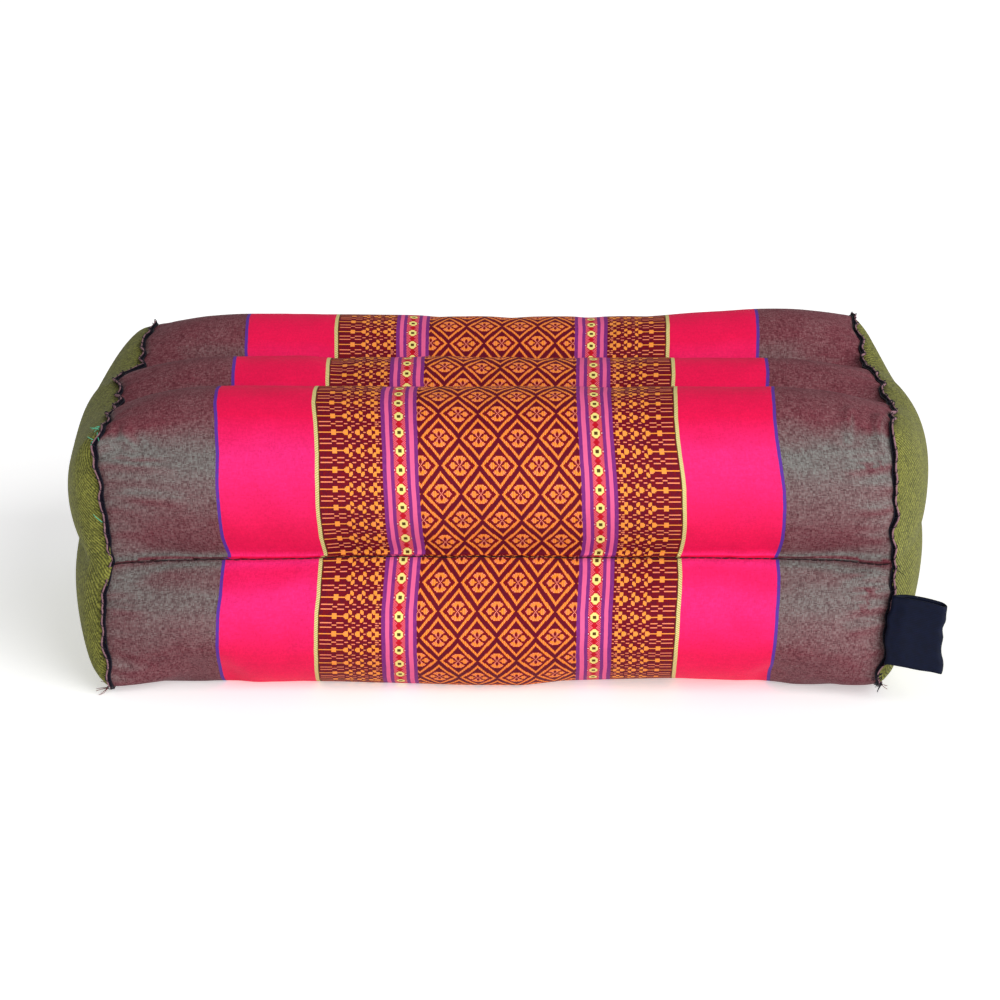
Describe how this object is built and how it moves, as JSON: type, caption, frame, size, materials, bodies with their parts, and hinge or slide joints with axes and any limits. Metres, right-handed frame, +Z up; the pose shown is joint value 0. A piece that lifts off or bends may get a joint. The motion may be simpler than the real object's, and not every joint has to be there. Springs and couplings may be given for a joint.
{
  "type": "block cushion",
  "caption": "Firm stuffed block cushion for floor sitting, with sewn tube channels, a woven striped cover, plain cloth ends and a ribbon side label.",
  "frame": {"origin": "middle of the base, on the floor", "axes": "+X along the tubes towards the end with the label, -Y towards the front, +Z up"},
  "size_m": [0.3654, 0.1879, 0.1238],
  "materials": {
    "woven_cover": "matte",
    "end_cloth": "matte",
    "label_ribbon": "satin"
  },
  "bodies": {
    "root": {"cushion_body": "woven_cover", "end_panel_left": "end_cloth", "end_panel_right": "end_cloth", "side_label": "label_ribbon"}
  },
  "joints": []
}
